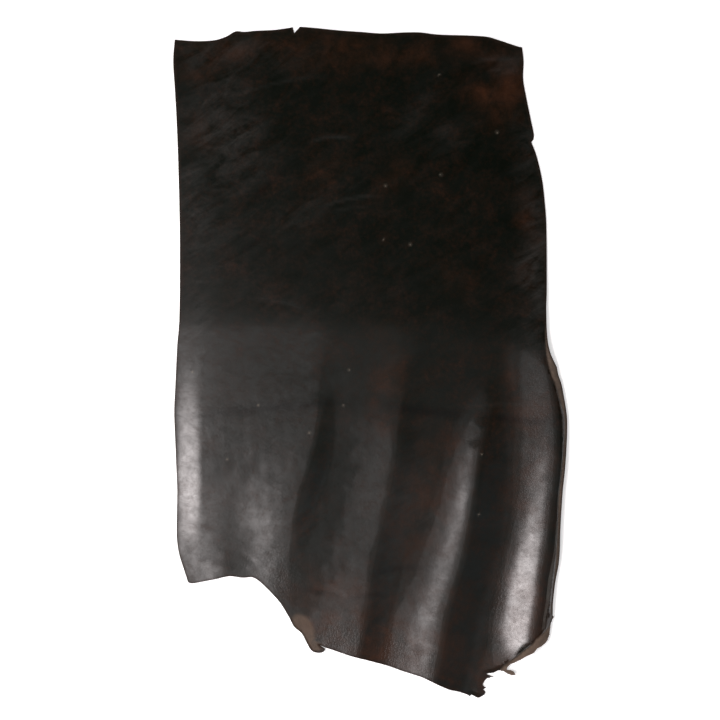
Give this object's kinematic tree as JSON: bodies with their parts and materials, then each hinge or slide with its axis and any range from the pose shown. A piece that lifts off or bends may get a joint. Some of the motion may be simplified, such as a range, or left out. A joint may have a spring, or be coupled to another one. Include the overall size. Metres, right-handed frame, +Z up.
{
  "type": "leather hide",
  "caption": "Whole cut side of dark finished leather lying grain side up, straight along the back, uneven along the belly, buckled into long ridges at the shank end.",
  "frame": {"origin": "on the resting surface under the centre of the hide's length and width", "axes": "+Z up, out of the grain side; +Y towards the head end; +X towards the belly edge"},
  "size_m": [0.7644, 1.302, 0.0292],
  "materials": {
    "hide": "very dark brown waxed grain leather, mottled, satin gloss; raw flesh side and cut edge"
  },
  "bodies": {
    "root": {"hide": "hide"}
  },
  "joints": []
}
